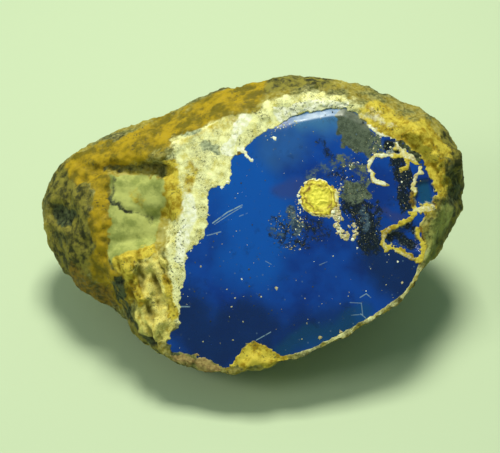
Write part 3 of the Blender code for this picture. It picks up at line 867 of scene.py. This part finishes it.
chosen = wire(tree, "ShaderNodeSeparateColor", {0: pinpricks.outputs["Color"]}).outputs[0]
dots = spread(tree, pinpricks.outputs["Distance"], 0.20, 0.10)
dots = sums(tree, "MULTIPLY", dots, spread(tree, chosen, 0.78, 0.86))
blue = stained(tree, blue, dots, 0.55, DOT_COLOUR)
smudges = spread(tree, grains(tree, 2.4, 5.0, 0.7), 0.56, 0.72)
blue = stained(tree, blue, smudges, 0.35, SMUDGE_COLOUR)
plug(tree, blue, shader.inputs["Base Color"])
shader.inputs["IOR"].default_value = AMBER_IOR
shader.inputs["Transmission Weight"].default_value = AMBER_CLEAR
polish = spread(tree, grains(tree, 1.2), 0.3, 0.7, 0.05, 0.16)
duller = sums(tree, "MULTIPLY", marked(tree, "rolled"), 0.32)
plug(tree, sums(tree, "ADD", polish, duller), shader.inputs["Roughness"])
bumped(tree, shader, grains(tree, 0.35, 3.0, 0.7, (0.25, 1.0, 1.0)), 0.2, 0.03 * MM)
depth_tint = wire(tree, "ShaderNodeVolumeAbsorption", {"Color": DEPTH_COLOUR, "Density": DEPTH_DENSITY})
plug(tree, depth_tint.outputs[0], tree.nodes["Material Output"].inputs["Volume"])
mesh.materials.append(clear)
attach(amber, "root")
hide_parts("amber")

# ------------------------------------------------------------
# The inclusion: a crumb of bright yellow sediment that the resin closed over, with a cream skin. The
# grinding cut through it, so it lies flush in the face.
# ------------------------------------------------------------
CRUMB_MIDDLE = (10.5, 4.4)
CRUMB_EDGE = (3.5, 3.3, 3.2, 3.4, 3.3, 3.3, 3.4, 3.2, 3.1, 3.4, 3.9, 3.8)
CRUMB_DEPTH = 3.0
CRUMB_LIFT, CRUMB_FOLD, CRUMB_ROUND = 0.06, 0.14, 0.22  # how its cut top stands, mm
mesh, toward = ball(6)
angle = np.arctan2(toward[:, 1], toward[:, 0]) % (2 * math.pi)
reach = np.hypot(toward[:, 0], toward[:, 1])
lumps = 1 + 0.13 * weathering(toward, 0.75, 3, 21)
radius = round_curve(CRUMB_EDGE, angle) * reach * lumps
crumb = placed_round(CRUMB_MIDDLE, radius, angle)
folds = 1 - 2 * np.abs(weathering(crumb * (1, 1, 0), 1.5, 3, 22))
crumb_top = CRUMB_LIFT + CRUMB_FOLD * np.maximum(folds, -0.2) - CRUMB_ROUND * reach**10
crumb[:, 2] = dome(crumb) + np.where(toward[:, 2] > 0, crumb_top, CRUMB_DEPTH * toward[:, 2] + crumb_top)
set_points(mesh, in_row(crumb))
crinkled = reach + 0.16 * weathering(crumb, 1.3, 3, 25)
store(mesh, "skin", eased((crinkled - 0.84) / 0.08) * eased((1.06 - crinkled) / 0.08))
rings = [eased(1 - np.abs(crinkled - at) / width) for at, width in ((0.62, 0.06), (0.82, 0.07))]
store(mesh, "ring", np.maximum(*rings))
store(mesh, "heart", eased((0.60 - crinkled) / 0.25))
# The crumb is darker in patches towards its lower right.
lower_right = reach * (toward[:, 0] - toward[:, 1]) / 1.2
store(mesh, "darker_lower_right", eased(lower_right + 0.35 * weathering(crumb, 0.8, 3, 26) - 0.1))
mesh.name = "yellow_crumb"
inclusion = put("yellow_crumb", mesh)
yellow, tree, shader = material_for("yellow_sediment")
colour = mixed(tree, spread(tree, grains(tree, 0.8), 0.36, 0.62), (0.48, 0.36, 0.010), (0.90, 0.78, 0.06))
colour = stained(tree, colour, marked(tree, "heart"), 0.6, (0.95, 0.88, 0.09))
colour = mixed(tree, spread(tree, marked(tree, "skin"), 0.2, 0.8), colour, (0.85, 0.80, 0.42))
broken_ring = sums(tree, "MULTIPLY", marked(tree, "ring"), spread(tree, grains(tree, 1.1), 0.36, 0.54))
colour = stained(tree, colour, broken_ring, 0.9, (0.20, 0.09, 0.01))
patchy = sums(tree, "MULTIPLY", marked(tree, "darker_lower_right"), spread(tree, grains(tree, 0.7), 0.42, 0.60))
colour = stained(tree, colour, patchy, 0.8, (0.16, 0.08, 0.02))
plug(tree, colour, shader.inputs["Base Color"])
shader.inputs["Roughness"].default_value = 0.6
bumped(tree, shader, grains(tree, 0.3), 0.7, 0.1 * MM)
mesh.materials.append(yellow)
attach(inclusion, "root")
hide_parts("inclusion")

# ------------------------------------------------------------
# Crumbs of sediment in the resin's face, cream and ochre, most under half a millimetre. The big ones and
# the tail below the inclusion have places of their own. Flecks are strewn, thick where the resin is dirty.
# ------------------------------------------------------------
# Each crumb: its place on the face, its size and how pale it is.
CRUMBS = [
    (3.6, 13.9, 0.80, 1.0), (-0.1, 10.4, 0.40, 1.0), (-0.9, 10.9, 0.24, 0.9), (-4.0, 6.9, 0.50, 1.0),
    (-5.0, 6.0, 0.55, 0.95), (3.8, -10.2, 0.42, 0.55), (-1.8, -8.7, 0.20, 0.9), (-4.2, -10.3, 0.16, 0.6),
    (-2.9, -11.7, 0.16, 0.6), (-3.4, -13.1, 0.22, 0.5), (-1.6, -15.5, 0.16, 0.7), (-8.0, -18.7, 0.16, 0.7),
    (-3.2, -18.4, 0.14, 0.6), (1.3, -11.5, 0.16, 0.8), (8.6, -15.7, 0.20, 0.5), (7.8, -18.2, 0.16, 0.6),
    (10.7, -18.0, 0.42, 0.35), (14.0, -17.1, 0.40, 0.35), (-8.4, -6.7, 0.24, 0.4), (-8.5, -2.9, 0.20, 0.9),
    (-10.0, -4.2, 0.18, 0.9), (-5.8, -1.5, 0.12, 0.6), (-2.7, -1.0, 0.12, 0.6), (12.8, -5.0, 0.16, 0.7),
    (18.1, -10.6, 0.16, 0.9), (11.0, -12.6, 0.12, 0.6), (13.9, -12.6, 0.16, 0.5), (15.2, -11.4, 0.14, 0.7),
    (23.9, -9.3, 0.26, 0.5), (21.8, -4.8, 0.18, 0.8), (23.2, -5.9, 0.24, 0.9), (16.7, -3.7, 0.16, 0.9),
    (21.3, -9.6, 0.14, 0.6), (7.3, 4.6, 0.40, 0.85), (7.5, 3.6, 0.35, 0.8), (24.0, 6.9, 0.22, 0.9),
]  # fmt: skip
# Rows of crumbs: the line, how many for each mm, their size and how far they stray from it, mm.
CRUMB_ROWS = [
    ([(13.3, 2.6), (13.2, 1.0), (13.8, -0.6), (14.7, -2.2)], 9, 0.50, 0.34),
    ([(14.7, -2.2), (16.3, -1.9), (16.5, -0.4), (15.5, 0.1)], 8, 0.32, 0.18),
    ([(14.4, 6.6), (14.0, 5.2), (13.2, 3.6)], 5, 0.15, 0.25),
    ([(7.0, 2.6), (7.6, 0.6), (7.2, -1.4)], 6, 0.14, 0.35),
    ([(5.2, -3.2), (6.6, -3.9), (7.6, -3.5)], 6, 0.12, 0.25),
    ([(17.6, 9.4), (16.0, 10.4), (15.2, 9.0)], 5, 0.13, 0.45),
    ([(19.0, 12.4), (20.2, 12.0), (20.8, 13.4)], 7, 0.16, 0.55),
    ([(-1.8, 12.0), (-0.9, 11.1), (-0.4, 10.6)], 12, 0.13, 0.08),
    ([(1.6, 14.4), (4.0, 15.2), (7.0, 16.8)], 5, 0.13, 0.35),
]
PLACES_SEED, LUMPS_SEED = 31, 1795471715  # noise_vector starts from the clock unless it is given a seed
random.seed(PLACES_SEED)
for line, count, size, stray in CRUMB_ROWS:
    for (x0, y0), (x1, y1) in zip(line, line[1:]):
        for _ in range(round(count * math.hypot(x1 - x0, y1 - y0))):
            t = random.random()
            x, y = x0 + t * (x1 - x0) + random.gauss(0, stray), y0 + t * (y1 - y0) + random.gauss(0, stray)
            CRUMBS.append((x, y, size * random.uniform(0.5, 1.3), random.uniform(0.3, 1.0)))

noise.seed_set(LUMPS_SEED)
body = bmesh.new()
shade = body.verts.layers.float.new("shade")
for x, y, size, paleness in CRUMBS:
    out = dome(np.array([[x, y]]))[0] - 0.35 * size
    spin = Matrix.Rotation(random.uniform(0, math.pi), 4, "Z")
    length, width = random.uniform(0.8, 1.25), random.uniform(0.6, 1.0)
    stretch = Matrix.Diagonal((size * length, size * width, size * 0.55, 1))
    place = Matrix.Translation((x, y, out)) @ spin @ stretch
    made = bmesh.ops.create_icosphere(body, subdivisions=2, radius=1.0, matrix=place)
    for vert in made["verts"]:
        vert.co += size * 0.38 * noise.noise_vector(vert.co * 1.5 / size)
        vert[shade] = paleness
mesh = bpy.data.meshes.new("sediment_crumbs")
body.to_mesh(mesh)
body.free()
set_points(mesh, in_row(rows_of(mesh.vertices, "co")))
crumbs = put("sediment_crumbs", mesh)
crumb_stuff, tree, shader = material_for("crumb_sediment")
colour = mixed(tree, marked(tree, "shade"), (0.30, 0.17, 0.05), (0.86, 0.84, 0.58))
colour = mixed(tree, spread(tree, grains(tree, 0.25), 0.45, 0.6), colour, (0.42, 0.35, 0.08))
colour = mixed(tree, spread(tree, marked(tree, "shade"), 0.75, 0.9), colour, (0.90, 0.90, 0.70))
plug(tree, colour, shader.inputs["Base Color"])
shader.inputs["Roughness"].default_value = 0.7
mesh.materials.append(crumb_stuff)
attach(crumbs, "root")


def strewing_tree():
    """Geometry nodes that strew small rough grains over a bed, thick where its cover attribute is high."""
    group = bpy.data.node_groups.new("strewn_grains", "GeometryNodeTree")
    face = group.interface
    face.new_socket("Bed", in_out="INPUT", socket_type="NodeSocketGeometry")
    for label in ("Density", "Least Size", "Most Size", "Sink", "Roughness"):
        face.new_socket(label, in_out="INPUT", socket_type="NodeSocketFloat")
    face.new_socket("Seed", in_out="INPUT", socket_type="NodeSocketInt")
    face.new_socket("Grain", in_out="INPUT", socket_type="NodeSocketMaterial")
    face.new_socket("Grains", in_out="OUTPUT", socket_type="NodeSocketGeometry")
    given = group.nodes.new("NodeGroupInput").outputs

    def step(kind, inputs, **settings):
        """A node that hands a geometry on."""
        return wire(group, "GeometryNode" + kind, inputs, **settings).outputs[0]

    def chance(low, high, seed, kind="FLOAT"):
        """A random number between two, or with kind FLOAT_VECTOR a random vector."""
        first, result = (2, 1) if kind == "FLOAT" else (0, 0)
        between = {first: low, first + 1: high, "Seed": seed}
        return wire(group, "FunctionNodeRandomValue", between, data_type=kind).outputs[result]

    cover = wire(group, "GeometryNodeInputNamedAttribute", {"Name": "cover"}, data_type="FLOAT")
    thick = sums(group, "MULTIPLY", cover.outputs[0], given["Density"])
    spots = wire(group, "GeometryNodeDistributePointsOnFaces", {"Mesh": given["Bed"], "Seed": given["Seed"]})
    plug(group, thick, spots.inputs["Density"])
    lower = sums(group, "MULTIPLY", chance(0.0, 1.0, given["Seed"]), given["Sink"])
    down = vectors(group, "MULTIPLY", scaled(group, spots.outputs["Normal"], lower), (-1, -1, -1))
    sunk = step("SetPosition", {"Geometry": spots.outputs["Points"], "Offset": down})
    grain = step("MeshIcoSphere", {"Radius": 1.0, "Subdivisions": 1})
    size = chance(given["Least Size"], given["Most Size"], 5)
    shape = chance((0.6, 0.6, 0.5), (1.3, 1.3, 0.8), 6, "FLOAT_VECTOR")
    turn = {0: spots.outputs["Rotation"], 1: chance((0, 0, 0), (0.5, 0.5, 6.28), 7, "FLOAT_VECTOR")}
    turned = wire(group, "FunctionNodeRotateEuler", turn, space="LOCAL").outputs[0]
    laid = step(
        "InstanceOnPoints",
        {"Points": sunk, "Instance": grain, "Rotation": turned, "Scale": scaled(group, shape, size)},
    )
    toned = step(
        "StoreNamedAttribute",
        {"Geometry": laid, "Name": "shade", "Value": chance(0.0, 1.0, 8)},
        data_type="FLOAT",
        domain="INSTANCE",
    )
    real = step("RealizeInstances", {"Geometry": toned})
    rough = wire(group, "ShaderNodeTexNoise", {"Scale": 1 / (0.35 * MM), "Detail": 2.0}).outputs["Color"]
    shift = scaled(group, vectors(group, "ADD", rough, (-0.5, -0.5, -0.5)), given["Roughness"])
    bent = step("SetPosition", {"Geometry": real, "Offset": shift})
    dressed = step("SetMaterial", {"Geometry": bent, "Material": given["Grain"]})
    plug(group, dressed, group.nodes.new("NodeGroupOutput").inputs[0])
    return group


strewing = strewing_tree()


def strewn(name, bed_mesh, **given):
    """The grains strewn over a bed, as a plain object."""
    bed = put(name + "_bed", bed_mesh)
    modifier = bed.modifiers.new("strewing", "NODES")
    modifier.node_group = strewing
    for item in strewing.interface.items_tree:
        label = item.name.lower().replace(" ", "_")
        if item.in_out == "INPUT" and label in given:
            modifier[item.identifier] = given[label]
    return finished(bed, name)


# The bed is the resin's face: a fine net over the window, on the dome.
NET, NET_SIDE, NET_CORNER = 0.5, 88, (-14.5, -23.5)  # spacing in mm, points a side, lower left corner
# Where the resin is dirty: how much, the outline and how softly it ends.
DIRTY = [
    (1.0, [(3.0, 2.0), (7.2, 4.0), (11.0, 1.4), (12.4, -1.6), (9.0, -3.6), (4.4, -4.4), (2.4, -1.6)], 1.5),
    (1.0, [(13.5, 8.5), (18.8, 7.2), (20.4, 1.6), (20.4, -3.6), (17.0, -4.0), (15.0, 0.0), (13.5, 3.0)],
     1.5),
    (0.8, [(22.9, 8.6), (25.6, 8.6), (25.4, 3.0), (23.4, 3.0)], 1.0),
    (0.9, [(17.6, 16.5), (21.0, 14.5), (21.5, 11.5), (16.0, 9.5), (15.0, 11.0)], 1.0),
]  # fmt: skip
CLEANER = [(-8, -6), (-2, -2), (8, -6), (10, -14), (2, -18), (-8, -16)]  # where dark flecks are only few
corners = [(i, j) for j in range(NET_SIDE) for i in range(NET_SIDE)]
net = np.array([[NET_CORNER[0] + i * NET, NET_CORNER[1] + j * NET, 0.0] for i, j in corners])
net[:, 2] = dome(net)
quads = [
    tuple(j * NET_SIDE + i + step for step in (0, 1, NET_SIDE + 1, NET_SIDE))
    for i, j in corners
    if i < NET_SIDE - 1 and j < NET_SIDE - 1
]
net_drift = net[:, :2] + 1.2 * wander(net, 3.0, 3, (41, 42))
in_window = eased((inside(net, WINDOW_EDGE) - 0.3) / 0.5)
dirty = strongest(*(share * patch(net_drift, outline, soft) for share, outline, soft in DIRTY))
beds = {}
for name, cover in (
    ("dark_flecks", 0.03 + 0.8 * dirty + 0.08 * patch(net_drift, CLEANER, 5.0)),
    ("pale_flecks", 0.05 + dirty),
):
    mesh = bpy.data.meshes.new(name + "_bed")
    mesh.from_pydata(in_row(net).tolist(), [], quads)
    store(mesh, "cover", np.clip(cover, 0, 1) * in_window)
    beds[name] = mesh
soot, tree, shader = material_for("dark_sediment")
colour = mixed(tree, marked(tree, "shade"), (0.006, 0.012, 0.016), (0.05, 0.06, 0.04))
plug(tree, colour, shader.inputs["Base Color"])
shader.inputs["Roughness"].default_value = 0.6
dark_flecks = strewn(
    "dark_flecks", beds["dark_flecks"], density=5.5e6, least_size=0.04 * MM, most_size=0.18 * MM,
    sink=0.35 * MM, roughness=0.25 * MM, seed=3, grain=soot,
)  # fmt: skip
pale_flecks = strewn(
    "pale_flecks", beds["pale_flecks"], density=4.5e6, least_size=0.03 * MM, most_size=0.11 * MM,
    sink=0.12 * MM, roughness=0.12 * MM, seed=4, grain=crumb_stuff,
)  # fmt: skip
for piece in (dark_flecks, pale_flecks):
    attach(piece, "root")

# ------------------------------------------------------------
# Floor and lights. A plain pale surface, one soft lamp above and a little behind, a weaker one low at the
# left in front, and a faint even light all round.
# ------------------------------------------------------------
bpy.ops.mesh.primitive_plane_add(size=3.0, location=(0, 0, 0))
table_top = bpy.context.object
table_top.name = "pale_floor"
paint, tree, shader = material_for("pale_paint")
shader.inputs["Base Color"].default_value = (0.52, 0.63, 0.43, 1)
shader.inputs["Roughness"].default_value = 0.7
table_top.data.materials.append(paint)


def soft_lamp(name, place, size, watts, tint):
    """A square lamp that faces the nodule."""
    lamp = bpy.data.lights.new(name, "AREA")
    lamp.size, lamp.energy, lamp.color = size, watts, tint
    made = put(name, lamp)
    made.location = place
    made.rotation_euler = (FACE_CENTRE - Vector(place)).to_track_quat("-Z", "Y").to_euler()


soft_lamp("key", (0.0, 0.13, 0.40), 0.12, 1.7, (1.0, 1.0, 0.84))
soft_lamp("side", (-0.30, -0.15, 0.30), 0.15, 0.5, (1.0, 1.0, 0.86))
world = bpy.data.worlds.new("studio")
world.use_nodes = True
world.node_tree.nodes["Background"].inputs[0].default_value = (0.62, 0.90, 0.76, 1)
world.node_tree.nodes["Background"].inputs[1].default_value = 0.25
bpy.context.scene.world = world
bpy.context.scene.view_settings.view_transform = "Standard"
